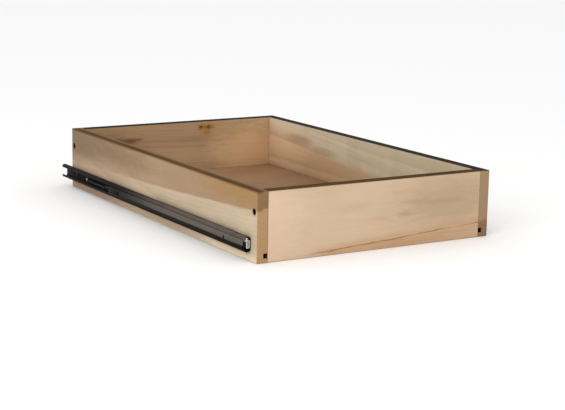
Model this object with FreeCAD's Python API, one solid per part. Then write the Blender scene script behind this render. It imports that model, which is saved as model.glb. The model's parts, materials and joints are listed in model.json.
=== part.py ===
import FreeCAD, Part
import math
import os

# Roll-out wooden drawer box on a pair of two-member ball-bearing slides.
# Millimetres. +X right, -Y is the front, +Z up, the drawer's lower edge at z = 0.
# The origin is under the middle of the whole part, slides included.
# In each slide, "out" is the distance out from the drawer side, "rise" is the
# height above the slide's centre line, and "back" is the distance behind the
# drawer's front face. The right slide mirrors the left one.

# Drawer box
box_width = 328.7
box_depth = 522.2
box_height = 82.55
side_thickness = 14.0
end_thickness = 14.5
edge_easing = 0.5

# Bottom panel and the groove that holds it
bottom_thickness = 5.6
groove_height = 6.0
groove_depth = 5.5
groove_above_edge = 5.0
groove_end_gap = 0.5

# Corner joints: one screw in a deep counterbore and one blind dowel each
corner_screw_height = 58.5
counterbore_radius = 4.1
counterbore_depth = 6.0
corner_screw_radius = 2.0
corner_head_radius = 3.6
corner_head_thickness = 2.4
corner_screw_reach = 24.0
hex_key_radius = 1.5
dowel_height = 24.0
dowel_radius = 3.0
dowel_length = 30.0
dowel_depth_in_side = 9.0
wood_hole_gap = 0.05

# Slide section
steel = 1.2
channel_height = 18.5
slide_thickness = 10.0
slide_above_edge = 11.0
ball_radius = 1.75
running_gap = 0.05
race_fullness = 0.15
race_depth = 0.45
channel_corner_radius = 4.5
lip_gap = 0.35
cover_gap = 0.4
rail_flange = 1.4
rail_bend_radius = 1.0

# Slide lengths and travel
channel_setback = 13.5
channel_overhang = 16.5
rail_setback = 16.0
rail_gap_to_lever = 2.0
strip_end_gap = 2.5

# Holes for the cabinet screws, in the rail
cabinet_hole_radius = 2.1
cabinet_hole_from_rail_front = 44.0
cabinet_hole_from_rail_end = 30.5

# Ball retainer strips, an upper and a lower one in each slide
strip_length = 120.0
strip_thickness = 0.8
strip_spine = 0.85
strip_mouth = 0.45
balls_in_row = 9
pocket_gap = 0.1

# Release lever
lever_pivot_from_rear = 79.2
lever_length = 61.0
lever_side_gap = 0.3
lever_boss_gap = 0.5
lever_web_gap = 0.4
lever_arm_gap = 0.1
lever_arm_thickness = 2.2
lever_arm_high = -0.1
lever_finger_gap = 1.5
lever_finger_length = 18.0
lever_neck_length = 3.0
hook_thickness = 3.7
hook_length = 6.0
hook_catch = 1.8
stop_gap = 0.3
tab_gap = 1.0
rivet_radius = 1.5
rivet_head_radius = 2.4
rivet_head_rise = 1.2
spring_wire = 0.4
spring_gap = 0.25
spring_web_gap = 0.3
spring_drift_room = 0.36
spring_leg_slope = 12.0
spring_anchor_length = 4.0

# Front stop clip, its rivet and its bumper
clip_sheet = 1.0
clip_length = 14.4
clip_post = 1.6
clip_window = 1.2
clip_link = 0.9
clip_post_drop = 1.0
clip_arm_gap = 0.4
clip_lug_gap = 0.7
clip_lug_drop = 0.2
clip_web_gap = 0.05
clip_rivet_head_radius = 2.2
clip_rivet_head_rise = 0.9
bumper_overhang = 1.8
bumper_end_gap = 0.25
bumper_rounding = 0.35

# Screws that hold the channel to the drawer side
channel_screw_count = 4
channel_screw_from_channel_front = 46.5
channel_screw_from_channel_rear = 38.7
channel_screw_radius = 1.75
channel_head_radius = 3.1
channel_head_thickness = 1.5
channel_head_gap = 0.4
channel_screw_reach = 11.0
screw_tip_length = 3.0
screw_tip_radius = 0.3

# Worked out from the values above: the whole part and the box
overall_length = box_depth + channel_overhang
overall_front = -overall_length / 2
inside_width = box_width - 2 * side_thickness

# The slide's section
slide_centre_z = slide_above_edge + channel_height / 2
channel_half = channel_height / 2
channel_inner_half = channel_half - steel
race_radius = ball_radius + race_fullness
lip_out = slide_thickness - steel - cover_gap
lip_inner = lip_out - steel
ball_out = lip_inner - race_radius
ball_rise = channel_inner_half - ball_radius - running_gap
rail_groove_rise = ball_rise - ball_radius - running_gap
rail_half = rail_groove_rise + race_depth
rail_inner_half = rail_half - rail_flange
rail_inner_out = slide_thickness - steel
rail_edge_out = steel + channel_head_thickness + channel_head_gap
lip_tip_rise = rail_half + lip_gap

# The lever across the slide
lever_boss_start = steel + lever_web_gap
lever_arm_out = steel + spring_web_gap + spring_drift_room + 2.1 * spring_wire + lever_arm_gap
lever_arm_end = lever_arm_out + lever_arm_thickness
rivet_head_start = lever_arm_end + 2 * running_gap
lever_low = lever_side_gap - rail_inner_half
lever_boss_radius = rail_inner_half - lever_boss_gap
stop_tab_high = lever_low + hook_catch
lever_finger_low = stop_tab_high + stop_gap
lever_finger_high = rail_inner_half - lever_finger_gap

# Along the slide: the lever's hook meets the rail's tab at the end of the travel
lever_pivot = overall_length - lever_pivot_from_rear
hook_front = lever_pivot - lever_length
lever_front = hook_front - lever_finger_length
rail_end = lever_front - rail_gap_to_lever
travel = hook_front - stop_gap - steel - rail_setback
cabinet_holes = (rail_setback + cabinet_hole_from_rail_front,
                 rail_end - cabinet_hole_from_rail_end)
strip_front = rail_setback + travel / 2 + strip_end_gap
clip_front = channel_setback + 0.1
clip_end = clip_front + clip_length
clip_rivet_place = clip_front + clip_length / 2
clip_inner = steel + clip_web_gap
clip_post_inner = clip_inner + clip_post + clip_window
clip_post_outer = clip_post_inner + clip_post

os.makedirs("parts", exist_ok=True)


def save(name, shape):
    if not shape.isValid():
        raise ValueError(name + " is not a valid shape")
    shape.exportStep("parts/" + name + ".step")


def block(x0, x1, back0, back1, z0, z1):
    corner = FreeCAD.Vector(x0, overall_front + back0, z0)
    return Part.makeBox(x1 - x0, back1 - back0, z1 - z0, corner)


def joined(solids):
    return solids[0].fuse(solids[1:]).removeSplitter()


# Places and shapes in a slide, drawn on the left and mirrored for the right


def slide_point(out, back, rise):
    x = -box_width / 2 - out
    return FreeCAD.Vector(x, overall_front + back, slide_centre_z + rise)


def slide_block(out0, out1, back0, back1, rise0, rise1):
    corner = slide_point(out1, back0, rise0)
    return Part.makeBox(out1 - out0, back1 - back0, rise1 - rise0, corner)


def slide_rod(radius, out0, out1, back, rise=0.0):
    outwards = FreeCAD.Vector(-1, 0, 0)
    return Part.makeCylinder(radius, out1 - out0, slide_point(out0, back, rise), outwards)


def channel_screw_places():
    first = channel_setback + channel_screw_from_channel_front
    last = overall_length - channel_screw_from_channel_rear
    step = (last - first) / (channel_screw_count - 1)
    return [first + step * number for number in range(channel_screw_count)]


def slide_bar(edges, back0, back1):
    face = Part.Face(Part.Wire(Part.sortEdges(edges)[0]))
    return face.extrude(FreeCAD.Vector(0, back1 - back0, 0))


def line(start, end, back):
    first = slide_point(start[0], back, start[1])
    last = slide_point(end[0], back, end[1])
    return Part.LineSegment(first, last).toShape()


def arc(start, middle, end, back):
    points = [slide_point(p[0], back, p[1]) for p in (start, middle, end)]
    return Part.Arc(*points).toShape()


def on_circle(centre, radius, degrees):
    turn = math.radians(degrees)
    out = centre[0] + radius * math.cos(turn)
    return (out, centre[1] + radius * math.sin(turn))


def quarter(centre, radius, start, end, back):
    angles = (start, (start + end) / 2, end)
    return arc(*[on_circle(centre, radius, angle) for angle in angles], back)


def mirrored_halves(edges):
    flip = FreeCAD.Matrix()
    flip.A33 = -1
    flip.A34 = 2 * slide_centre_z
    return edges + [edge.transformGeometry(flip) for edge in edges]


def both_sides(name, shape):
    save("left_" + name, shape)
    middle = FreeCAD.Vector(0, 0, 0)
    save("right_" + name, shape.mirror(middle, FreeCAD.Vector(1, 0, 0)))


# Slide members


def channel():
    """The C-shaped member on the drawer side, open outwards, with ball races."""
    back = channel_setback
    corner = (channel_corner_radius, channel_half - channel_corner_radius)
    race = (ball_out, channel_inner_half - race_radius)
    inner_corner_radius = channel_corner_radius - steel
    upper_half = [
        line((0, 0), (0, corner[1]), back),
        quarter(corner, channel_corner_radius, 180, 90, back),
        line((corner[0], channel_half), (race[0], channel_half), back),
        quarter(race, race_radius + steel, 90, 0, back),
        line((lip_out, race[1]), (lip_out, lip_tip_rise), back),
        line((lip_out, lip_tip_rise), (lip_inner, lip_tip_rise), back),
        line((lip_inner, lip_tip_rise), (lip_inner, race[1]), back),
        quarter(race, race_radius, 0, 90, back),
        line((race[0], channel_inner_half), (corner[0], channel_inner_half), back),
        quarter(corner, inner_corner_radius, 90, 180, back),
        line((steel, corner[1]), (steel, 0), back),
    ]
    body = slide_bar(mirrored_halves(upper_half), back, overall_length)
    holes = [slide_rod(channel_screw_radius + wood_hole_gap, -1, steel + 1, place)
             for place in channel_screw_places()]
    holes += [slide_rod(rivet_radius + running_gap, -1, steel + 1, place)
              for place in (lever_pivot, clip_rivet_place)]
    return body.cut(holes)


def rail():
    """The cabinet member inside the channel, with race grooves and a front stop tab."""
    back = rail_setback
    outer = slide_thickness
    inner = rail_inner_out
    bend = rail_bend_radius
    groove = (ball_out, rail_groove_rise + race_radius)
    half_width = math.sqrt(race_radius**2 - (groove[1] - rail_half) ** 2)
    bend_centre = (outer - bend, rail_half - bend)
    upper_half = [
        line((outer, 0), (outer, bend_centre[1]), back),
        quarter(bend_centre, bend, 0, 90, back),
        line((bend_centre[0], rail_half), (groove[0] + half_width, rail_half), back),
        arc((groove[0] + half_width, rail_half), (groove[0], rail_groove_rise),
            (groove[0] - half_width, rail_half), back),
        line((groove[0] - half_width, rail_half), (rail_edge_out, rail_half), back),
        line((rail_edge_out, rail_half), (rail_edge_out, rail_inner_half), back),
        line((rail_edge_out, rail_inner_half), (inner, rail_inner_half), back),
        line((inner, rail_inner_half), (inner, 0), back),
    ]
    body = slide_bar(mirrored_halves(upper_half), back, rail_end)
    tab = slide_block(steel + channel_head_thickness + tab_gap, inner + steel / 2,
                      back, back + steel, -rail_inner_half, stop_tab_high)
    holes = [slide_rod(cabinet_hole_radius, inner - 1, outer + 1, place)
             for place in cabinet_holes]
    return joined([body, tab]).cut(holes)


# Balls and the strips that space them


def ball_places():
    pitch = strip_length / balls_in_row
    return [strip_front + pitch * (number + 0.5) for number in range(balls_in_row)]


def retainer_strips():
    strips = []
    inner_out = ball_out - ball_radius - pocket_gap - strip_spine
    outer_out = ball_out + ball_radius - strip_mouth
    for side in (1, -1):
        middle = side * ball_rise
        strip = slide_block(inner_out, outer_out, strip_front,
                            strip_front + strip_length,
                            middle - strip_thickness / 2, middle + strip_thickness / 2)
        pockets = []
        for place in ball_places():
            start = slide_point(ball_out, place, middle - strip_thickness)
            pockets.append(Part.makeCylinder(ball_radius + pocket_gap, 2 * strip_thickness, start))
        strips.append(strip.cut(pockets))
    return Part.makeCompound(strips)


def balls():
    spheres = []
    for side in (1, -1):
        for place in ball_places():
            centre = slide_point(ball_out, place, side * ball_rise)
            spheres.append(Part.makeSphere(ball_radius, centre))
    return Part.makeCompound(spheres)


# Release lever, its rivet and its spring


def release_lever():
    """Pivots at its rear; its hook meets the rail's stop tab at full travel."""
    start = lever_arm_out
    hook_out = start + hook_thickness
    hook_back = hook_front + hook_length
    neck_front = hook_front - lever_neck_length
    neck_high = (lever_finger_low + lever_finger_high) / 2
    body = joined([
        slide_rod(lever_boss_radius, lever_boss_start, lever_arm_end, lever_pivot),
        slide_block(start, lever_arm_end, hook_front, lever_pivot, lever_low, lever_arm_high),
        slide_block(start, hook_out, hook_front, hook_back, lever_low, lever_arm_high),
        slide_block(start, lever_arm_end, neck_front, hook_back, lever_finger_low, neck_high),
        slide_block(start, hook_out, lever_front, neck_front + 0.5,
                    lever_finger_low, lever_finger_high),
    ])
    return body.cut(slide_rod(rivet_radius + running_gap, 0, slide_thickness, lever_pivot))


def rivet(shank_length, head_radius, head_rise, shank_radius, out, back):
    """A shank from the given depth outwards, under a low domed head."""
    seat = out + shank_length
    dome = (head_radius**2 + head_rise**2) / (2 * head_rise)
    dome_centre = (seat + head_rise - dome, 0)
    half_way = math.degrees(math.asin(head_radius / dome)) / 2
    profile = [
        line((out, 0), (out, shank_radius), back),
        line((out, shank_radius), (seat, shank_radius), back),
        line((seat, shank_radius), (seat, head_radius), back),
        arc((seat, head_radius), on_circle(dome_centre, dome, half_way),
            (seat + head_rise, 0), back),
        line((seat + head_rise, 0), (out, 0), back),
    ]
    face = Part.Face(Part.Wire(Part.sortEdges(profile)[0]))
    return face.revolve(slide_point(0, back, 0), FreeCAD.Vector(-1, 0, 0), 360)


def lever_rivet():
    return rivet(rivet_head_start, rivet_head_radius, rivet_head_rise, rivet_radius, 0,
                 lever_pivot)


def lever_spring():
    """One coil round the lever's boss, with a leg on the arm and an anchor leg."""
    wire = spring_wire / 2
    radius = lever_boss_radius + spring_gap + wire
    pitch = spring_wire * 1.1
    slope = math.radians(spring_leg_slope)
    leg_drop = radius * math.cos(slope) - lever_arm_high - wire - running_gap
    leg_length = leg_drop / math.sin(slope)
    foot_length = lever_arm_out + lever_arm_thickness / 2 - steel - spring_web_gap - wire
    start = FreeCAD.Vector(radius, 0, 0)
    end = FreeCAD.Vector(radius, 0, pitch)
    ahead = FreeCAD.Vector(0, 2 * math.pi * radius, pitch).normalize()
    anchor = start - ahead * spring_anchor_length
    bend = end + ahead * leg_length
    path = Part.Wire([
        Part.LineSegment(anchor, start).toShape(),
        *Part.makeHelix(pitch, pitch, radius).Edges,
        Part.LineSegment(end, bend).toShape(),
    ])
    section = Part.Wire(Part.makeCircle(wire, anchor, ahead))
    foot = Part.makeCylinder(wire, foot_length, bend, FreeCAD.Vector(0, 0, -1))
    spring = joined([path.makePipeShell([section], True, True), Part.makeSphere(wire, bend), foot])
    # Turn the coil's axis inwards and its long leg forwards and down.
    sine, cosine = math.sin(slope), math.cos(slope)
    outermost = steel + spring_web_gap + spring_drift_room + wire + pitch
    place = slide_point(outermost, lever_pivot, 0)
    spring.Placement = FreeCAD.Placement(FreeCAD.Matrix(
        0, 0, 1, place.x, -sine, -cosine, 0, place.y, cosine, -sine, 0, place.z, 0, 0, 0, 1))
    return spring


# Front stop


def front_stop():
    """A folded clip: a riveted base on the web, and a pierced face across the front end."""
    half = channel_half - channel_corner_radius - clip_web_gap
    face_end = clip_front + clip_sheet
    top = channel_inner_half - clip_post_drop
    arm_out = lip_inner - clip_arm_gap
    lug_out = slide_thickness - steel - clip_lug_gap
    lug_top = rail_half - clip_lug_drop
    clip = joined([
        slide_block(clip_inner, clip_inner + clip_sheet, clip_front, clip_end, -half, half),
        slide_block(clip_inner, clip_inner + clip_post, clip_front, face_end, -half, half),
        slide_block(clip_post_inner, clip_post_outer, clip_front, face_end, -half, top),
        slide_block(clip_inner, clip_post_outer, clip_front, face_end, -half, clip_link - half),
        slide_block(clip_inner, lug_out, clip_front, face_end, lug_top - clip_link, lug_top),
        slide_block(clip_post_inner - clip_window / 2, arm_out, clip_front, face_end,
                    top - clip_link, top),
    ])
    return clip.cut(slide_rod(rivet_radius + running_gap, 0, clip_post_inner, clip_rivet_place))


def front_stop_rivet():
    return rivet(clip_inner + clip_sheet, clip_rivet_head_radius, clip_rivet_head_rise,
                 rivet_radius, 0, clip_rivet_place)


def bumper():
    """A rubber pad behind the clip's outer post; the rail's stop tab closes against it."""
    half = rail_inner_half - clip_arm_gap
    pad = slide_block(clip_post_inner, clip_post_outer + bumper_overhang, clip_front + clip_sheet,
                      rail_setback - bumper_end_gap, -half, half)
    edges = [edge for edge in pad.Edges if abs(edge.tangentAt(edge.FirstParameter).y) > 0.9]
    return pad.makeFillet(bumper_rounding, edges)


def channel_screws():
    screws = []
    tip_start = screw_tip_length - channel_screw_reach
    for place in channel_screw_places():
        screw = rivet(steel - tip_start, channel_head_radius, channel_head_thickness,
                      channel_screw_radius, tip_start, place)
        tip = Part.makeCone(channel_screw_radius, screw_tip_radius, screw_tip_length,
                            slide_point(tip_start, place, 0), FreeCAD.Vector(1, 0, 0))
        screws.append(joined([screw, tip]))
    return Part.makeCompound(screws)


# Wooden box


def corner_places():
    """Each corner as its side (-1 left, 1 right) and the end panel's mid-plane."""
    ends = (end_thickness / 2, box_depth - end_thickness / 2)
    return [(side, back) for side in (-1, 1) for back in ends]


def cross_rod(radius, side, depth0, depth1, back, z):
    """A rod along X, with its ends at two depths under a side's outer face."""
    face = side * box_width / 2
    start = FreeCAD.Vector(face - side * depth0, overall_front + back, z)
    return Part.makeCylinder(radius, depth1 - depth0, start, FreeCAD.Vector(-side, 0, 0))


def corner_screw(side, back):
    z = corner_screw_height
    seat = counterbore_depth
    head = cross_rod(corner_head_radius, side, seat - corner_head_thickness, seat, back, z)
    key = cross_rod(hex_key_radius, side, seat - corner_head_thickness - 1, seat - 1, back, z)
    tip_start = corner_screw_reach - screw_tip_length
    shank = cross_rod(corner_screw_radius, side, seat, tip_start, back, z)
    start = FreeCAD.Vector(side * (box_width / 2 - tip_start), overall_front + back, z)
    tip = Part.makeCone(corner_screw_radius, screw_tip_radius, screw_tip_length, start,
                        FreeCAD.Vector(-side, 0, 0))
    return joined([head, shank, tip]).cut(key)


def corner_holes(side, back):
    screw = cross_rod(corner_screw_radius + wood_hole_gap, side, 0, corner_screw_reach + 0.5, back,
                      corner_screw_height)
    bore = cross_rod(counterbore_radius, side, -1, counterbore_depth, back, corner_screw_height)
    start = side_thickness - dowel_depth_in_side - 0.5
    dowel = cross_rod(dowel_radius + wood_hole_gap, side, start, start + dowel_length + 1, back,
                      dowel_height)
    return [screw, bore, dowel]


def corner_dowel(side, back):
    start = side_thickness - dowel_depth_in_side
    return cross_rod(dowel_radius, side, start, start + dowel_length, back, dowel_height)


def groove():
    inner = box_width / 2 - side_thickness + groove_depth
    z = groove_above_edge
    return block(-inner, inner, -1, box_depth + 1, z, z + groove_height)


def slide_screw_holes(side):
    reach = channel_screw_radius + wood_hole_gap
    return [cross_rod(reach, side, -1, channel_screw_reach + 0.5, place, slide_centre_z)
            for place in channel_screw_places()]


def eased(board):
    return board.makeFillet(edge_easing, board.Edges)


def side_panel(side):
    outer = side * box_width / 2
    inner = outer - side * side_thickness
    panel = eased(block(min(outer, inner), max(outer, inner), 0, box_depth, 0, box_height))
    holes = [hole for place in corner_places() if place[0] == side
             for hole in corner_holes(*place)]
    return panel.cut(holes + slide_screw_holes(side) + [groove()])


def end_panel(back0, back1, groove_back0, groove_back1):
    half = inside_width / 2
    panel = eased(block(-half, half, back0, back1, 0, box_height))
    z = groove_above_edge
    slot = block(-half - 1, half + 1, groove_back0, groove_back1, z, z + groove_height)
    holes = [hole for place in corner_places() if back0 < place[1] < back1
             for hole in corner_holes(*place)]
    return panel.cut(holes + [slot])


def front_panel():
    return end_panel(0, end_thickness, end_thickness - groove_depth, end_thickness + 1)


def back_panel():
    face = box_depth - end_thickness
    return end_panel(face, box_depth, face - 1, face + groove_depth)


def bottom_panel():
    reach = groove_depth - groove_end_gap
    half = inside_width / 2 + reach
    z = groove_above_edge + (groove_height - bottom_thickness)
    return block(-half, half, end_thickness - reach, box_depth - end_thickness + reach,
                 z - 0.05, z - 0.05 + bottom_thickness)


save("left_side", side_panel(-1))
save("right_side", side_panel(1))
save("front_panel", front_panel())
save("back_panel", back_panel())
save("bottom_panel", bottom_panel())
save("corner_screws", Part.makeCompound([corner_screw(*place) for place in corner_places()]))
save("corner_dowels", Part.makeCompound([corner_dowel(*place) for place in corner_places()]))
both_sides("drawer_channel", channel())
both_sides("cabinet_rail", rail())
both_sides("ball_retainers", retainer_strips())
both_sides("balls", balls())
both_sides("release_lever", release_lever())
both_sides("lever_rivet", lever_rivet())
both_sides("lever_spring", lever_spring())
both_sides("front_stop", front_stop())
both_sides("front_stop_rivet", front_stop_rivet())
both_sides("bumper", bumper())
both_sides("channel_screws", channel_screws())
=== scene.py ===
import bmesh
import bpy
import json
import math
from mathutils import Matrix, Vector


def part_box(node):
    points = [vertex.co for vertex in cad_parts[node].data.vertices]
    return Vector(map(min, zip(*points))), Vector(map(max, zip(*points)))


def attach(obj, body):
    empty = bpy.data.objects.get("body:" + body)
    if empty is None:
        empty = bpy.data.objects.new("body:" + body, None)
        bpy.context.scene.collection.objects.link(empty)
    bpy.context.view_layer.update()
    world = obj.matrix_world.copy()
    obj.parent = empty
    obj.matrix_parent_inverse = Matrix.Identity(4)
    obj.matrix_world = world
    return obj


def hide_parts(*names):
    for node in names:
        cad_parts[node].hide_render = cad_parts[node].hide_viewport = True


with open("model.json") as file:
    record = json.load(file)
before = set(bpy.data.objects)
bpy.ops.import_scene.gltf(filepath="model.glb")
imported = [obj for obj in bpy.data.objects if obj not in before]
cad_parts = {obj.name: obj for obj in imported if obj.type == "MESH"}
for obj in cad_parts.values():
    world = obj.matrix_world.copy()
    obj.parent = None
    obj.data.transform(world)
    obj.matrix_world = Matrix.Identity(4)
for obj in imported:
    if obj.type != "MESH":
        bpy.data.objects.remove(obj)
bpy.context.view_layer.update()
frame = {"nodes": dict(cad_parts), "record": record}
print("frame loaded")


# Shader building

class Wire:
    # One output socket, with arithmetic that adds Math nodes.
    def __init__(self, paint, socket):
        self.paint = paint
        self.socket = socket

    def reckon(self, operation, first, second=0.0):
        return self.paint.node("Math", {"operation": operation}, {0: first, 1: second})

    def __add__(self, other):
        return self.reckon("ADD", self, other)

    def __radd__(self, other):
        return self.reckon("ADD", other, self)

    def __sub__(self, other):
        return self.reckon("SUBTRACT", self, other)

    def __rsub__(self, other):
        return self.reckon("SUBTRACT", other, self)

    def __mul__(self, other):
        return self.reckon("MULTIPLY", self, other)

    def __truediv__(self, other):
        return self.reckon("DIVIDE", self, other)

    def __pow__(self, other):
        return self.reckon("POWER", self, other)

    def size(self):
        return self.reckon("ABSOLUTE", self)

    def either(self, other):
        return self.reckon("MAXIMUM", self, other)

    def rise(self, low, high):
        # 0 below low, 1 above high, smooth between
        return self.paint.node("MapRange", {"interpolation_type": "SMOOTHSTEP"},
                               {"Value": self, "From Min": low, "From Max": high})


class Paint:
    # One material; constants are values that are the same all over it.
    def __init__(self, name, constants):
        self.material = bpy.data.materials.new(name)
        self.material.use_nodes = True
        self.tree = self.material.node_tree
        self.shader = self.tree.nodes["Principled BSDF"]
        self.point = self.node("TexCoord", output="Object")
        for socketName, value in constants.items():
            self.set(socketName, value)

    def node(self, kind, settings=None, inputs=None, output=0):
        made = self.tree.nodes.new("ShaderNode" + kind)
        for setting, value in (settings or {}).items():
            setattr(made, setting, value)
        for socketName, value in (inputs or {}).items():
            self.join(value, made.inputs[socketName])
        return Wire(self, made.outputs[output])

    def join(self, value, socket):
        if isinstance(value, Wire):
            self.tree.links.new(value.socket, socket)
        elif socket.type == "RGBA":
            socket.default_value = (*value, 1)
        else:
            socket.default_value = value

    def set(self, socketName, value):
        self.join(value, self.shader.inputs[socketName])

    def axes(self):
        split = self.tree.nodes.new("ShaderNodeSeparateXYZ")
        self.tree.links.new(self.point.socket, split.inputs[0])
        return [Wire(self, output) for output in split.outputs]

    def vector(self, x, y, z):
        return self.node("CombineXYZ", None, {0: x, 1: y, 2: z})

    def noise(self, vector, detail, roughness, scale=1.0):
        return self.node("TexNoise", None, {"Vector": vector, "Scale": scale,
                                            "Detail": detail, "Roughness": roughness})

    def lineNoise(self, value, detail, roughness):
        return self.node("TexNoise", {"noise_dimensions": "1D"},
                         {"W": value, "Scale": 1.0, "Detail": detail, "Roughness": roughness})

    def mix(self, share, first, second):
        return self.node("Mix", {"data_type": "RGBA", "clamp_factor": True},
                         {0: share, 6: first, 7: second}, output=2)

    def bump(self, height, distance, strength):
        self.set("Normal", self.node("Bump", None, {"Height": height, "Distance": distance,
                                                    "Strength": strength}))


def rgb(red, green, blue):
    # screen values 0 to 255 made linear
    return tuple(((v / 255 + 0.055) / 1.055) ** 2.4 for v in (red, green, blue))


# Wood

class BoardPaint(Paint):
    # A board's wood, laid down in layers from the grain to the painted shade on the top edge.
    def __init__(self, name, board):
        super().__init__(name, {"Specular IOR Level": board["sheen"]})
        self.board = board
        self.x, self.y, self.z = self.axes()
        self.along, self.depth = (self.y, self.x) if board["grain"] == "y" else (self.x, self.y)
        self.rearward = (self.depth - board["middle"]).rise(-0.001, 0.001)  # 1 on the rear face
        self.sway = self.grainNoise(6, 20, 16) - 0.5
        self.fibre = self.grainNoise(14, 420, 420, 3.0, 0.6)
        self.cloud = self.grainNoise(9, 12, 26, 3.0, 0.55)
        self.tear = self.grainNoise(55, 30, 190, 2.0, 0.6) - 0.5
        self.pores = self.grainNoise(60, 1500, 1500, 1.0).rise(0.66, 0.76)
        self.level = self.heightOverHeart()
        self.rings = self.lineNoise(self.level * board["ringsPerMetre"] + board["seed"], 3.0, 0.6)
        self.heart = (0 - self.level if board["heartBelow"] else self.level).rise(
            -board["soft"], board["soft"])
        self.colour = self.mix(self.heart, board["pale"], board["brown"])

    def grainNoise(self, alongWaves, depthWaves, upWaves, detail=2.0, roughness=0.5):
        # waves per metre along the board, through it and up it
        waves = self.vector(self.along * alongWaves + self.board["seed"],
                            self.depth * depthWaves, self.z * upWaves)
        return self.noise(waves, detail, roughness)

    def heightOverHeart(self):
        # how far a point is above the heartwood's edge, a curve on each face, a little wavy
        board, along = self.board, self.along
        ripple = self.grainNoise(30, 40, 60, 1.0) - 0.5
        front, rear = [self.z - (along * along * line[2] + along * line[1] + line[0])
                       for line in (board["frontLine"], board["rearLine"])]
        return (front * (1 - self.rearward) + rear * self.rearward
                + self.sway * board["sway"] + ripple * board["ripple"])

    def lay(self, share, colour):
        self.colour = self.mix(share, self.colour, colour)

    def onFace(self, face):
        return self.rearward if face == "rear" else 1 - self.rearward

    def layFigure(self):
        board = self.board
        flame = self.grainNoise(26, 20, 9)
        self.lay(self.rings.rise(0.45, 0.75) * board["ringShare"], board["ringColour"])
        self.lay(self.cloud.rise(0.42, 0.72) * board["cloudShare"], board["cloudColour"])
        self.lay(flame.rise(0.45, 0.7) * board["flameShare"], board["flameColour"])
        self.lay(self.fibre.rise(0.4, 0.8) * board["fibreShare"], board["ringColour"])
        self.lay(self.pores * board["poreShare"], board["poreColour"])

    def layPatch(self, patch):
        # a soft-edged patch of another colour, on one face or on both; a lying board is the floor
        across = self.depth if self.board.get("lying") else self.z
        off = (self.along - patch["at"][0]) / patch["reach"][0]
        up = (across - patch["at"][1]) / patch["reach"][1]
        far = (off * off + up * up) ** 0.5
        far = far + (self.cloud - 0.5) * 0.6 + self.tear * patch.get("torn", 0.5)
        share = (1 - far.rise(0.15, 1.0)) * patch["share"]
        face = patch.get("face", "front")
        if face != "both":
            share = share * self.onFace(face)
        self.lay(share, patch["colour"])

    def layStreak(self, streak):
        # a mineral streak: a thin line along the board in a soft brown band
        off = (self.z - (self.along * streak["slope"] + streak["height"])
               + self.sway * 0.005 + self.tear * 0.003)
        ragged = 0.45 + self.fibre.rise(0.35, 0.65) * 0.55
        thin = 1 - off.size().rise(0.0, streak["width"])
        under = off.rise(-streak["below"], -streak["below"] * 0.3) * (1 - off.rise(-0.0005, 0.0008))
        over = (1 - off.rise(0.0, streak["above"])) * off.rise(-0.0005, 0.0005)
        reach = self.along.rise(streak["from"], streak["from"] + streak["fade"])
        broken = self.grainNoise(18, 0, 40).rise(0.25, 0.5)
        self.lay(under * reach * ragged * streak["underShare"], streak["underColour"])
        self.lay(over * reach * ragged * streak["overShare"], streak["overColour"])
        self.lay(thin * reach * broken * streak["lineShare"], streak["lineColour"])

    def layKnot(self, knot):
        # a small pin knot on the front face, in a warmer halo
        torn = self.grainNoise(260, 40, 260, 2.0, 0.6) - 0.5
        off = (self.along - knot["centre"][0]) / knot["size"][0]
        up = (self.z - knot["centre"][1]) / knot["size"][1]
        far = (off * off + up * up) ** 0.5 + torn * 1.3
        face = self.onFace("front")
        self.lay((1 - far.rise(0.5, 2.0)) * face * 0.4, knot["halo"])
        self.lay((1 - far.rise(0.3, 1.0)) * face * knot["share"], knot["colour"])

    def layEndGrain(self):
        # darker, with short growth arcs and open pores; returns where the pits are
        board = self.board
        low, high = board["ends"]
        cut = (low + board["endDepth"] - self.along).rise(-0.0002, 0.0002).either(
            (self.along - high + board["endDepth"]).rise(-0.0002, 0.0002))
        arcs = self.lineNoise((self.depth * 0.7 + self.level) * 420 + board["seed"], 2.0, 0.6)
        dots = self.noise(self.vector(self.depth, self.along, self.z), 2.0, 0.6, 1600.0)
        endColour = self.mix(self.heart, board["endPale"], board["endBrown"])
        endColour = self.mix(arcs.rise(0.4, 0.7) * 0.35, endColour, board["ringColour"])
        endColour = self.mix(dots.rise(0.56, 0.7) * 0.3, endColour, board["poreColour"])
        self.lay(cut, endColour)
        return dots * cut

    def layBores(self):
        # the counterbores and the groove are painted dark a little way in, as painted shade in the
        # recesses
        board = self.board
        deep = (board["face"] - self.x.size()).rise(0.0004, 0.0012)
        for holeY, holeZ in board["bores"]:
            off, up = self.y - holeY, self.z - holeZ
            far = (off * off + up * up) ** 0.5
            within = 1 - far.rise(board["boreRadius"], board["boreRadius"] + 0.0003)
            self.lay(within * deep, board["boreColour"])
        groove = board["groove"]
        slot = 1 - (self.z - groove["middle"]).size().rise(groove["half"], groove["half"] + 0.0002)
        slot = slot * (1 - self.x.size().rise(groove["floor"], groove["floor"] + 0.0003))
        slot = slot * (self.y - board["ends"][0]).rise(0.0004, 0.001)
        self.lay(slot, board["boreColour"])

    def layTopEdgeShade(self):
        # the top edge is painted dark as painted shade, and the painted shade runs a little way
        # down the outer face
        board = self.board
        runningShade = self.z.rise(board["top"] - board["stainRun"], board["top"] - 0.0003)
        self.lay(runningShade * self.onFace(board["outerFace"]) * board["stainShare"], board["edgeDark"])
        edge = self.z.rise(board["top"] - board["edgeDepth"], board["top"] - 0.0002)
        rimShadeColour = self.mix(self.fibre.rise(0.35, 0.75), board["edgeDark"], board["edgeLight"])
        # the lighter inner part of the rim is a painted highlight
        if "edgeInner" in board:
            inner = 1 - self.x.size().rise(board["innerFrom"], board["innerTo"])
            rimShadeColour = self.mix(inner * 0.75, rimShadeColour, board["edgeInner"])
        self.lay(edge, rimShadeColour)
        return edge


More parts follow.
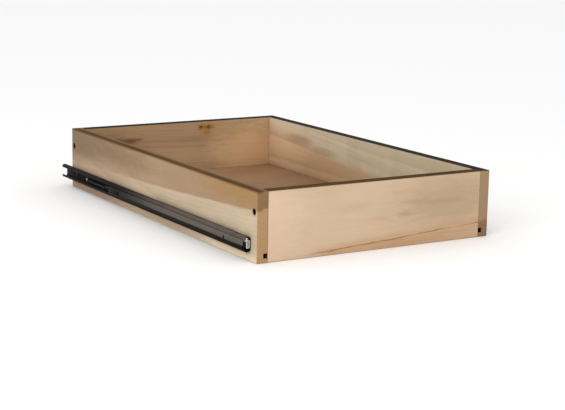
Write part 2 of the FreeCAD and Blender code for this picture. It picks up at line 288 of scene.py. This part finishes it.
def paintWood(name, board):
    paint = BoardPaint(name, board)
    paint.layFigure()
    for patch in board["patches"]:
        paint.layPatch(patch)
    for streak in board.get("streaks", ()):
        paint.layStreak(streak)
    for knot in board.get("knots", ()):
        paint.layKnot(knot)
    pits = paint.layEndGrain()
    if "bores" in board:
        paint.layBores()
    if "tuckedFrom" in board:
        # the floor's front border lies in the front panel's groove and is painted dark there, as
        # painted shade
        paint.lay((board["tuckedFrom"] - paint.y).rise(-0.0005, 0.0005), board["tuckedColour"])
    edge = paint.layTopEdgeShade()
    paint.set("Base Color", paint.colour)
    paint.set("Roughness",
              board["roughness"] + paint.rings * 0.08 + paint.pores * 0.15 + edge * 0.3)
    relief = paint.fibre * 0.5 + paint.rings * 0.4 - paint.pores * 0.8 - pits * 0.5
    paint.bump(relief, board["relief"], 0.6)
    return paint.material


# lengths in metres; a line is (height, slope, curve) of the heartwood's edge along the board,
# and a top of 1.0 is out of reach, so that piece has no painted shade on its top edge
woodCommon = {
    "sheen": 0.12, "roughness": 0.56, "relief": 0.00008, "endDepth": 0.0003,
    # the top edge's dark colours and their run down the outer face are painted shade
    "top": 0.08255, "edgeDepth": 0.0005, "outerFace": "front", "stainRun": 0.0016,
    "stainShare": 0.5,
    "ringsPerMetre": 240.0, "soft": 0.0016, "sway": 0.007, "ripple": 0.0012,
    "fibreShare": 0.16, "poreShare": 0.22, "poreColour": rgb(110, 80, 52),
    "edgeDark": rgb(66, 44, 28), "edgeLight": rgb(92, 64, 42),
}

sideCommon = {
    "grain": "y", "ends": (-0.26935, 0.25285), "face": 0.16435,
    # the bore colour is painted shade in the counterbores and the groove
    "bores": ((-0.2621, 0.0585), (0.2456, 0.0585)), "boreRadius": 0.0042,
    "boreColour": rgb(30, 15, 6), "groove": {"middle": 0.008, "half": 0.0030, "floor": 0.1559},
}

endEnds = (-0.15035, 0.15035)

boards = {
    "left_side": {
        **sideCommon, "seed": 3.1, "middle": -0.15735,
        "frontLine": (0.0468, -0.0400, 0.012), "rearLine": (0.052, -0.035, 0.0),
        "heartBelow": False, "pale": rgb(197, 179, 153), "brown": rgb(161, 134, 105),
        "ringShare": 0.16, "ringColour": rgb(146, 118, 84),
        "cloudShare": 0.35, "cloudColour": rgb(170, 144, 116),
        "flameShare": 0.15, "flameColour": rgb(182, 152, 128),
        "endPale": rgb(171, 137, 100), "endBrown": rgb(132, 99, 70),
        # the rim colours and their run down the face are painted shade, and the lighter inner part
        # of the rim is a painted highlight
        "edgeDark": rgb(72, 45, 10), "edgeLight": rgb(96, 66, 22),
        "edgeInner": rgb(142, 112, 82), "innerFrom": 0.1506, "innerTo": 0.1590,
        "stainRun": 0.0034, "stainShare": 0.6,
        "patches": [
            {"at": (0.26, 0.07), "reach": (0.26, 0.06), "share": 0.8,
             "colour": rgb(118, 97, 72)},
            {"at": (-0.22, 0.075), "reach": (0.16, 0.026), "share": 0.75,
             "colour": rgb(155, 119, 72)},
            {"at": (0.06, 0.052), "reach": (0.16, 0.014), "share": 0.5,
             "colour": rgb(178, 150, 122)},
            {"at": (0.20, 0.004), "reach": (0.22, 0.012), "share": 0.85,
             "colour": rgb(150, 118, 98)},
            {"at": (-0.04, 0.004), "reach": (0.16, 0.010), "share": 0.5,
             "colour": rgb(170, 144, 114)},
            # painted light: lighter low at the front, where the slide and the floor shade the face
            {"at": (-0.21, 0.003), "reach": (0.12, 0.009), "share": 0.8,
             "colour": rgb(226, 206, 178)},
            {"at": (0.15, 0.038), "reach": (0.19, 0.016), "share": 0.7,
             "colour": rgb(178, 151, 124)},
            {"at": (0.085, 0.066), "reach": (0.12, 0.028), "share": 0.55,
             "colour": rgb(130, 105, 76)},
        ],
    },
    "right_side": {
        **sideCommon, "outerFace": "rear", "seed": 8.7, "middle": 0.15735,
        "frontLine": (0.0419, 0.0806, 0.0), "rearLine": (0.0419, 0.0806, 0.0), "soft": 0.004,
        "heartBelow": True, "pale": rgb(207, 193, 167), "brown": rgb(184, 150, 115),
        "ringShare": 0.12, "ringColour": rgb(156, 128, 94),
        "cloudShare": 0.35, "cloudColour": rgb(178, 156, 126),
        "flameShare": 0.2, "flameColour": rgb(182, 150, 116),
        "endPale": rgb(152, 125, 96), "endBrown": rgb(125, 96, 71),
        # the top edge's colours are painted shade
        "edgeDark": rgb(28, 21, 17), "edgeLight": rgb(48, 39, 34),
        "patches": [
            # the next two patches are painted light: the inner face lighter near the back and up
            # high
            {"at": (0.215, 0.045), "reach": (0.125, 0.05), "share": 0.65,
             "colour": rgb(224, 194, 159)},
            {"at": (0.21, 0.077), "reach": (0.10, 0.014), "share": 0.6,
             "colour": rgb(226, 209, 183)},
            {"at": (0.15, 0.060), "reach": (0.05, 0.010), "share": 0.5,
             "colour": rgb(142, 116, 84)},
            {"at": (0.085, 0.052), "reach": (0.045, 0.008), "share": 0.4,
             "colour": rgb(150, 124, 92)},
            {"at": (-0.16, 0.06), "reach": (0.14, 0.05), "share": 0.45,
             "colour": rgb(188, 176, 144)},
        ],
    },
    "front_panel": {
        "grain": "x", "seed": 5.3, "middle": -0.2621, "ends": endEnds,
        "frontLine": (-0.004, 0.03, 0.0), "rearLine": (0.03, 0.03, 0.0), "soft": 0.012,
        "heartBelow": True, "pale": rgb(200, 175, 148), "brown": rgb(178, 146, 117),
        "ringShare": 0.08, "ringColour": rgb(184, 154, 120),
        "cloudShare": 0.45, "cloudColour": rgb(188, 158, 128),
        "flameShare": 0.25, "flameColour": rgb(204, 184, 146),
        "endPale": rgb(40, 26, 14), "endBrown": rgb(32, 20, 10),
        # the top edge's colours are painted shade
        "edgeDark": rgb(60, 39, 5), "edgeLight": rgb(88, 62, 18),
        "patches": [
            # the next two patches are painted light and painted shade: the face lighter to the left
            # and darker to the right
            {"at": (-0.165, 0.05), "reach": (0.10, 0.08), "share": 0.7,
             "colour": rgb(214, 184, 160)},
            {"at": (0.11, 0.05), "reach": (0.13, 0.055), "share": 0.75,
             "colour": rgb(172, 146, 116)},
            {"at": (-0.034, 0.053), "reach": (0.036, 0.008), "share": 0.35,
             "colour": rgb(178, 152, 124), "torn": 1.2},
            {"at": (0.0, 0.0365), "reach": (0.034, 0.005), "share": 0.4,
             "colour": rgb(190, 154, 128), "torn": 1.2},
            {"at": (0.040, 0.039), "reach": (0.026, 0.005), "share": 0.42,
             "colour": rgb(162, 136, 106), "torn": 1.2},
            {"at": (0.057, 0.053), "reach": (0.026, 0.005), "share": 0.42,
             "colour": rgb(162, 136, 106), "torn": 1.2},
            {"at": (0.045, 0.067), "reach": (0.034, 0.005), "share": 0.35,
             "colour": rgb(190, 156, 130), "torn": 1.2},
            {"at": (0.099, 0.0505), "reach": (0.042, 0.006), "share": 0.4,
             "colour": rgb(162, 138, 108), "torn": 1.2},
            {"at": (0.079, 0.0255), "reach": (0.026, 0.006), "share": 0.42,
             "colour": rgb(196, 156, 132), "torn": 1.2},
            {"at": (0.06, 0.002), "reach": (0.14, 0.012), "share": 0.5,
             "colour": rgb(176, 138, 104)},
        ],
        "streaks": [{"height": 0.0092, "slope": 0.060, "width": 0.0013, "from": -0.11, "fade": 0.05,
                     "below": 0.016, "underShare": 0.62, "underColour": rgb(176, 132, 94),
                     "above": 0.011, "overShare": 0.62, "overColour": rgb(180, 140, 104),
                     "lineShare": 0.95, "lineColour": rgb(134, 86, 38)}],
    },
    "back_panel": {
        "grain": "x", "outerFace": "rear", "seed": 12.9, "middle": 0.2456, "ends": endEnds,
        "frontLine": (0.045, -0.03, 0.0), "rearLine": (0.05, 0.02, 0.0), "soft": 0.014,
        "heartBelow": False, "pale": rgb(193, 163, 129), "brown": rgb(175, 144, 112),
        "ringShare": 0.4, "ringColour": rgb(146, 114, 78),
        "cloudShare": 0.3, "cloudColour": rgb(156, 124, 92),
        "flameShare": 0.1, "flameColour": rgb(198, 168, 124),
        "endPale": rgb(172, 142, 110), "endBrown": rgb(144, 112, 84),
        # the top edge's colours are painted shade
        "edgeDark": rgb(24, 16, 8), "edgeLight": rgb(40, 28, 16),
        "patches": [
            # painted shadow of the left side: the inner face darker to the left
            {"at": (-0.15, 0.05), "reach": (0.12, 0.06), "share": 0.75,
             "colour": rgb(140, 114, 84)},
            {"at": (-0.093, 0.0605), "reach": (0.034, 0.0065), "share": 0.8,
             "colour": rgb(104, 76, 44), "torn": 1.4},
            {"at": (-0.074, 0.0625), "reach": (0.016, 0.0035), "share": 0.5,
             "colour": rgb(122, 92, 58), "torn": 1.0},
            {"at": (0.0425, 0.0735), "reach": (0.017, 0.014), "share": 0.7,
             "colour": rgb(192, 142, 78), "torn": 0.6},
            # painted light: the inner face lighter to the right
            {"at": (0.12, 0.04), "reach": (0.10, 0.06), "share": 0.8,
             "colour": rgb(222, 184, 140)},
            {"at": (0.02, 0.058), "reach": (0.05, 0.006), "share": 0.4,
             "colour": rgb(144, 112, 78)},
        ],
        "knots": [
            {"centre": (0.0340, 0.0742), "size": (0.0056, 0.0046), "share": 0.95,
             "colour": rgb(112, 72, 26), "halo": rgb(156, 112, 48)},
            {"centre": (0.0404, 0.0745), "size": (0.0036, 0.0036), "share": 0.7,
             "colour": rgb(128, 88, 36), "halo": rgb(160, 116, 52)},
            {"centre": (0.0468, 0.0740), "size": (0.0056, 0.0046), "share": 0.95,
             "colour": rgb(108, 70, 26), "halo": rgb(158, 114, 50)},
            {"centre": (0.0532, 0.0738), "size": (0.0034, 0.0034), "share": 0.55,
             "colour": rgb(136, 94, 40), "halo": rgb(166, 122, 60)},
            {"centre": (0.0425, 0.0660), "size": (0.0070, 0.0044), "share": 0.45,
             "colour": rgb(146, 104, 48), "halo": rgb(166, 122, 60)},
        ],
    },
    "bottom_panel": {
        "grain": "x", "seed": 17.2, "middle": 0.0, "top": 1.0,
        "ends": (-0.15535, 0.15535),
        "frontLine": (0.2, 0.0, 0.0), "rearLine": (0.2, 0.0, 0.0), "soft": 0.01,
        "heartBelow": True, "pale": rgb(162, 126, 92), "brown": rgb(154, 118, 87),
        "ringShare": 0.2, "ringColour": rgb(128, 96, 68),
        "cloudShare": 0.4, "cloudColour": rgb(138, 106, 78),
        "flameShare": 0.2, "flameColour": rgb(166, 132, 98),
        "endPale": rgb(150, 120, 90), "endBrown": rgb(120, 90, 66),
        # the colour where the border lies in the groove is painted shade
        "tuckedFrom": -0.2549, "tuckedColour": rgb(34, 20, 9), "lying": True,
        "patches": [
            # painted shadow of the left side and the front over the front part of the floor
            {"face": "both", "at": (0.0, -0.06), "reach": (0.6, 0.25), "share": 0.8,
             "colour": rgb(125, 97, 68)},
            {"face": "both", "at": (0.02, 0.24), "reach": (0.11, 0.07), "share": 0.6,
             "colour": rgb(172, 138, 102)},
        ],
    },
}


def dress(nodeName, material):
    node = frame["nodes"][nodeName]
    if not node.material_slots:
        node.data.materials.append(material)
    for place in node.material_slots:
        place.material = material


for nodeName, board in boards.items():
    words = nodeName.split("_")
    material = paintWood(words[0] + words[1].title() + "Birch", {**woodCommon, **board})
    dress(nodeName, material)
print("boards painted")


# Metals and plastics

def coatedSteel(name, look):
    paint = Paint(name, {"Specular IOR Level": look["sheen"]})
    x, y, z = paint.axes()
    drawn = paint.noise(paint.vector(x * 900, y * 7, z * 900), 3.0, 0.6)
    patch = paint.noise(paint.point, 3.0, 0.6, 38.0)
    speck = paint.noise(paint.point, 1.0, 0.5, 1500.0)
    line, blotch = drawn.rise(0.35, 0.75), patch.rise(0.45, 0.75) * 0.35
    # light is the painted reflection's colour, dark the steel's own colour left where the painted
    # shade lies
    light = paint.mix(blotch, paint.mix(line, look["light"], look["gleam"]), look["patch"])
    dark = paint.mix(blotch, paint.mix(line, look["dark"], look["darkGleam"]), look["darkPatch"])
    # the outward faces are painted lighter towards the front as a painted reflection, and painted
    # shade keeps them dark below a line and towards the rear
    paintedReflection = (x.size() - look["reflectionFrom"]).rise(-0.0004, 0.0004)
    paintedReflection = paintedReflection * (z - look["shadeLine"] + patch * 0.001).rise(-0.001, 0.0012)
    paintedReflection = paintedReflection * (look["reflectionEnd"] - y).rise(-look["reflectionFade"], look["reflectionFade"])
    paint.set("Base Color", paint.mix(paintedReflection, dark, light))
    paint.set("Roughness", look["roughness"] + drawn * 0.12 + patch * 0.1 - 0.08)
    paint.bump(drawn * 0.6 + speck * 0.5, 0.00003, 0.5)
    return paint.material


def platedMetal(name, look):
    paint = Paint(name, {"Metallic": look["metallic"],
                         "Specular IOR Level": look.get("sheen", 0.5)})
    x, y, z = paint.axes()
    scuff = paint.noise(paint.vector(x * 300, y * 1200, z * 300), 2.0, 0.6)
    bloom = paint.noise(paint.point, 3.0, 0.6, 160.0)
    colour = paint.mix(bloom.rise(0.35, 0.7), look["light"], look["dark"])
    paint.set("Base Color", paint.mix(scuff.rise(0.55, 0.75) * 0.4, colour, look["patch"]))
    paint.set("Roughness", look["roughness"] + bloom * 0.15 + scuff * 0.08 - 0.08)
    paint.bump(scuff * 0.5 + bloom, 0.00003, 0.4)
    return paint.material


def mouldedPlastic(name, look):
    paint = Paint(name, {"Specular IOR Level": look["sheen"]})
    skin = paint.noise(paint.point, 2.0, 0.6, 1800.0)
    worn = paint.noise(paint.point, 3.0, 0.6, 90.0)
    colour = paint.mix(worn.rise(0.4, 0.75) * 0.6, look["dark"], look["light"])
    paint.set("Base Color", paint.mix(skin.rise(0.6, 0.8) * 0.3, colour, look["patch"]))
    paint.set("Roughness", look["roughness"] + skin * 0.12 + worn * 0.1 - 0.1)
    paint.bump(skin, 0.00005, 0.5)
    return paint.material


# where the painted reflection lies on both slide members, in metres
slideCommon = {"sheen": 0.05, "reflectionFrom": 0.1690, "reflectionEnd": 0.008, "reflectionFade": 0.085}

finishes = {
    # on both slide members light, gleam and patch make the painted reflection, and below the line
    # the steel stays dark as painted shade
    "dark_steel": coatedSteel("darkSteel", {
        **slideCommon, "roughness": 0.55, "shadeLine": 0.0240,
        "dark": rgb(14, 12, 10), "darkGleam": rgb(22, 20, 17), "darkPatch": rgb(24, 22, 20),
        "light": rgb(84, 76, 69), "gleam": rgb(96, 88, 80), "patch": rgb(24, 22, 20)}),
    "grey_steel": coatedSteel("greySteel", {
        **slideCommon, "roughness": 0.5, "shadeLine": 0.0194,
        "dark": rgb(16, 14, 12), "darkGleam": rgb(24, 22, 19), "darkPatch": rgb(26, 24, 22),
        "light": rgb(91, 83, 75), "gleam": rgb(105, 97, 88), "patch": rgb(80, 74, 68)}),
    "bright_zinc": platedMetal("brightZinc", {
        "metallic": 0.8, "roughness": 0.26,
        "dark": rgb(206, 213, 217), "light": rgb(232, 238, 240), "patch": rgb(244, 248, 248)}),
    "dull_zinc": platedMetal("dullZinc", {
        "metallic": 0.7, "roughness": 0.42,
        "dark": rgb(112, 108, 102), "light": rgb(138, 134, 126), "patch": rgb(96, 92, 86)}),
    "bearing_steel": platedMetal("bearingSteel", {
        "metallic": 1.0, "roughness": 0.14,
        "dark": rgb(196, 198, 202), "light": rgb(214, 216, 220), "patch": rgb(176, 176, 178)}),
    "spring_steel": platedMetal("springSteel", {
        "metallic": 0.9, "roughness": 0.34,
        "dark": rgb(62, 60, 58), "light": rgb(84, 82, 78), "patch": rgb(50, 48, 48)}),
    "black_screw": platedMetal("blackScrew", {
        "metallic": 0.4, "roughness": 0.42, "sheen": 0.25,
        "dark": rgb(24, 21, 19), "light": rgb(36, 33, 30), "patch": rgb(54, 50, 46)}),
    "retainer_plastic": mouldedPlastic("retainerPlastic", {
        "roughness": 0.5, "sheen": 0.3,
        "dark": rgb(52, 52, 54), "light": rgb(74, 74, 76), "patch": rgb(92, 92, 94)}),
    "black_plastic": mouldedPlastic("blackPlastic", {
        "roughness": 0.5, "sheen": 0.12,
        "dark": rgb(13, 12, 11), "light": rgb(21, 20, 19), "patch": rgb(32, 30, 28)}),
    "black_rubber": mouldedPlastic("blackRubber", {
        "roughness": 0.72, "sheen": 0.2,
        "dark": rgb(28, 27, 26), "light": rgb(44, 42, 41), "patch": rgb(62, 60, 58)}),
}
finishes["beech_dowel"] = paintWood("beechDowel", {
    **woodCommon, "grain": "x", "seed": 21.4, "middle": 0.0, "top": 1.0, "ends": (-1.0, 1.0),
    "frontLine": (0.024, 0.0, 0.0), "rearLine": (0.024, 0.0, 0.0), "heartBelow": True,
    "pale": rgb(206, 170, 128), "brown": rgb(196, 158, 116),
    "ringShare": 0.3, "ringColour": rgb(170, 128, 88),
    "cloudShare": 0.2, "cloudColour": rgb(180, 144, 104),
    "flameShare": 0.1, "flameColour": rgb(200, 166, 124), "patches": [],
    "endPale": rgb(190, 152, 112), "endBrown": rgb(176, 138, 98)})

for entry in frame["record"]["subparts"]:
    if entry["material_slot"] in finishes:
        dress(entry["node"], finishes[entry["material_slot"]])
for side in ("left", "right"):
    # worn by the lever, so duller than the clip
    dress(side + "_lever_rivet", finishes["dull_zinc"])
print("metals and plastics painted")


# Pieces modelled over the plain nodes

bodyOf = {node: body
          for body, nodes in frame["record"]["behaviour"]["bodies"].items() for node in nodes}

# angles in degrees, lengths in metres
meshing = {"crease": 35.0, "corner": 50.0, "flat": 0.4, "weld": 0.000002, "sliver": 0.000001}


def placePiece(made, name, nodeName):
    # turns a bmesh into the piece that stands for a node, with that node's body and finish
    bmesh.ops.recalc_face_normals(made, faces=made.faces)
    for face in made.faces:
        face.smooth = True
    for edge in made.edges:
        edge.smooth = edge.is_manifold and edge.calc_face_angle() < math.radians(meshing["crease"])
    data = bpy.data.meshes.new(name)
    made.to_mesh(data)
    made.free()
    piece = bpy.data.objects.new(name, data)
    bpy.context.collection.objects.link(piece)
    data.materials.append(frame["nodes"][nodeName].material_slots[0].material)
    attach(piece, bodyOf[nodeName])
    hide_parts(nodeName)
    print(name, len(data.polygons), "faces")


def easeEdges(nodeName, name, width, segments):
    # a copy of the node's mesh with its sharp edges rounded over
    made = bmesh.new()
    made.from_mesh(frame["nodes"][nodeName].data)
    bmesh.ops.remove_doubles(made, verts=made.verts, dist=meshing["weld"])
    bmesh.ops.dissolve_limit(made, angle_limit=math.radians(meshing["flat"]),
                             verts=made.verts, edges=made.edges)
    sharp = [edge for edge in made.edges
             if edge.is_manifold and edge.calc_face_angle() > math.radians(meshing["corner"])]
    bmesh.ops.bevel(made, geom=sharp, offset=width, affect="EDGES", segments=segments,
                    profile=0.5, material=-1, clamp_overlap=True)
    bmesh.ops.dissolve_degenerate(made, dist=meshing["sliver"], edges=made.edges)
    placePiece(made, name, nodeName)


# cross-head pan screws, lengths in metres
panScrew = {
    "count": 4, "headRadius": 0.0031, "rise": 0.0015, "shankRadius": 0.00172, "tip": 0.003,
    "crossReach": 0.00175, "crossHalf": 0.00036, "crossDepth": 0.0011, "crossTaper": 0.55,
    "crossRim": 1.06, "sides": 24, "domeSteps": 6, "rimHeight": 0.0003,
    "firstTurn": 0.35, "nextTurn": 0.9,  # each screw is left at its own angle, in radians
}


def crossHeadScrew(made, look, length):
    # along +Z with the head's seat at 0; length is how far the shank reaches below it
    half, reach = look["crossHalf"], look["crossReach"]
    top = look["rise"]
    outline = []
    for quarter in range(4):
        turn = Matrix.Rotation(quarter * math.pi / 2, 3, "Z")
        for point in ((reach, -half), (reach, half), (half, half)):
            outline.append(made.verts.new(turn @ Vector((*point, top))))
    floor = made.faces.new(outline)
    bmesh.ops.subdivide_edges(made, edges=list(floor.edges), cuts=1)
    walls = bmesh.ops.extrude_face_region(made, geom=[floor])
    bmesh.ops.delete(made, geom=[floor], context="FACES_ONLY")
    low = [item for item in walls["geom"] if isinstance(item, bmesh.types.BMVert)]
    taper = look["crossTaper"]
    bmesh.ops.scale(made, verts=low, vec=(taper, taper, 1))
    bmesh.ops.translate(made, verts=low, vec=(0, 0, -look["crossDepth"]))
    rim = [edge for edge in made.edges if edge.is_boundary]
    # the dome in rings from the cross out to the rim, then the seat and the shank
    rings = []
    inner = reach * look["crossRim"]
    for step in range(look["domeSteps"] + 1):
        angle = step / look["domeSteps"] * math.pi / 2
        rings.append((inner + (look["headRadius"] - inner) * math.sin(angle),
                      look["rimHeight"] + (top - look["rimHeight"]) * math.cos(angle)))
    tipTop = look["tip"] - length
    rings += [(look["headRadius"], 0.0), (look["shankRadius"], 0.0), (look["shankRadius"], tipTop)]
    first = bmesh.ops.create_circle(made, segments=look["sides"], radius=rings[0][0],
                                    matrix=Matrix.Translation((0, 0, rings[0][1])))
    circle = list(dict.fromkeys(edge for vert in first["verts"] for edge in vert.link_edges))
    bmesh.ops.bridge_loops(made, edges=rim + circle)
    edges = circle
    for (radius, height), (oldRadius, oldHeight) in zip(rings[1:], rings):
        grown = bmesh.ops.extrude_edge_only(made, edges=edges)["geom"]
        verts = [item for item in grown if isinstance(item, bmesh.types.BMVert)]
        edges = [item for item in grown if isinstance(item, bmesh.types.BMEdge)]
        widen = radius / oldRadius
        bmesh.ops.scale(made, verts=verts, vec=(widen, widen, 1))
        bmesh.ops.translate(made, verts=verts, vec=(0, 0, height - oldHeight))
    grown = bmesh.ops.extrude_edge_only(made, edges=edges)["geom"]
    verts = [item for item in grown if isinstance(item, bmesh.types.BMVert)]
    bmesh.ops.translate(made, verts=verts, vec=(0, 0, -look["tip"]))
    bmesh.ops.pointmerge(made, verts=verts, merge_co=(0, 0, -length))


for side, outward in (("left", -1), ("right", 1)):
    nodeName = side + "_channel_screws"
    low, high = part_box(nodeName)
    first, last = low.y + panScrew["headRadius"], high.y - panScrew["headRadius"]
    headTop = high.x if outward > 0 else low.x
    turned = Matrix.Rotation(outward * math.pi / 2, 4, "Y")
    screws = bmesh.new()
    for number in range(panScrew["count"]):
        middle = first + (last - first) * number / (panScrew["count"] - 1)
        seat = headTop - outward * panScrew["rise"]
        screw = bmesh.new()
        crossHeadScrew(screw, panScrew, high.x - low.x - panScrew["rise"])
        spin = Matrix.Rotation(panScrew["firstTurn"] + panScrew["nextTurn"] * number, 4, "Z")
        screw.transform(Matrix.Translation((seat, middle, (low.z + high.z) / 2)) @ turned @ spin)
        held = bpy.data.meshes.new("screw")
        screw.to_mesh(held)
        screw.free()
        screws.from_mesh(held)
        bpy.data.meshes.remove(held)
    placePiece(screws, side + "CrossHeadScrews", nodeName)
print("screws made")

# folded clips, levers, strips and slide members with their edges eased
easing = {
    "front_stop": {"name": "StopClip", "width": 0.00016, "segments": 2},
    "release_lever": {"name": "Lever", "width": 0.00030, "segments": 3},
    "ball_retainers": {"name": "RetainerStrips", "width": 0.00008, "segments": 1},
    "cabinet_rail": {"name": "Rail", "width": 0.00012, "segments": 2},
    "drawer_channel": {"name": "Channel", "width": 0.00015, "segments": 2},
}
for side in ("left", "right"):
    for part, look in easing.items():
        easeEdges(side + "_" + part, side + look["name"], look["width"], look["segments"])

# boards with their sharp edges sanded off a little
sanding = {
    "width": 0.00035, "segments": 2,
    "names": {"left_side": "LeftSideBoard", "right_side": "RightSideBoard",
              "front_panel": "FrontBoard", "back_panel": "BackBoard"},
}
for nodeName, name in sanding["names"].items():
    easeEdges(nodeName, name, sanding["width"], sanding["segments"])
print("edges eased")


# Camera, lights and floor

cameraSettings = {
    "place": (-0.9749, -1.65885, 0.3941),
    "heading": -31.25, "tilt": 78.55, "roll": 1.09,  # degrees
    "lens": 93.8, "sensor": 36.0, "nearest": 0.05, "farthest": 30.0,
}

cameraData = bpy.data.cameras.new("camera")
cameraData.lens = cameraSettings["lens"]
cameraData.sensor_width = cameraSettings["sensor"]
cameraData.clip_start = cameraSettings["nearest"]
cameraData.clip_end = cameraSettings["farthest"]
camera = bpy.data.objects.new("camera", cameraData)
camera.matrix_world = (
    Matrix.Translation(cameraSettings["place"])
    @ Matrix.Rotation(math.radians(cameraSettings["heading"]), 4, "Z")
    @ Matrix.Rotation(math.radians(cameraSettings["tilt"]), 4, "X")
    @ Matrix.Rotation(math.radians(cameraSettings["roll"]), 4, "Z"))
bpy.context.collection.objects.link(camera)
bpy.context.scene.camera = camera

lights = {
    "key": {"place": (-2.0, -1.2, 1.15), "aim": (0.0, -0.1, 0.04), "size": 1.3, "power": 17.0,
            "colour": (1.0, 0.985, 0.96)},
    "fill": {"place": (0.2, -2.2, 0.8), "aim": (0.0, -0.1, 0.04), "size": 1.2, "power": 3.0,
             "colour": (1.0, 0.99, 0.98)},
}

for lightName, light in lights.items():
    lightData = bpy.data.lights.new(lightName, "AREA")
    lightData.shape = "SQUARE"
    lightData.size = light["size"]
    lightData.energy = light["power"]
    lightData.color = light["colour"]
    lamp = bpy.data.objects.new(lightName, lightData)
    lamp.location = light["place"]
    aim = Vector(light["aim"]) - Vector(light["place"])
    lamp.rotation_euler = aim.to_track_quat("-Z", "Y").to_euler()
    bpy.context.collection.objects.link(lamp)

# how strongly the white surround lights the drawer, and how bright it looks behind it
studio = {"daylight": 0.95, "backdrop": 1.0}
world = bpy.data.worlds.new("studio")
bpy.context.scene.world = world
world.use_nodes = True
worldTree = world.node_tree
background = worldTree.nodes["Background"]
background.inputs["Color"].default_value = (1, 1, 1, 1)
sight = worldTree.nodes.new("ShaderNodeLightPath")
level = worldTree.nodes.new("ShaderNodeMapRange")
level.inputs["To Min"].default_value = studio["daylight"]
level.inputs["To Max"].default_value = studio["backdrop"]
worldTree.links.new(sight.outputs["Is Camera Ray"], level.inputs["Value"])
worldTree.links.new(level.outputs[0], background.inputs["Strength"])
bpy.context.scene.view_settings.view_transform = "Standard"

floorSettings = {"reach": 6.0, "height": -0.0004, "colour": (0.98, 0.98, 0.98),
                 "roughness": 0.9, "sheen": 0.2}
floorMesh = bmesh.new()
bmesh.ops.create_grid(floorMesh, x_segments=1, y_segments=1, size=floorSettings["reach"],
                      matrix=Matrix.Translation((0, 0, floorSettings["height"])))
floorData = bpy.data.meshes.new("floor")
floorMesh.to_mesh(floorData)
floorMesh.free()
floor = bpy.data.objects.new("floor", floorData)
bpy.context.collection.objects.link(floor)
floorPaint = Paint("paleFloor", {"Base Color": floorSettings["colour"],
                                 "Roughness": floorSettings["roughness"],
                                 "Specular IOR Level": floorSettings["sheen"]})
floorData.materials.append(floorPaint.material)
print("studio set")
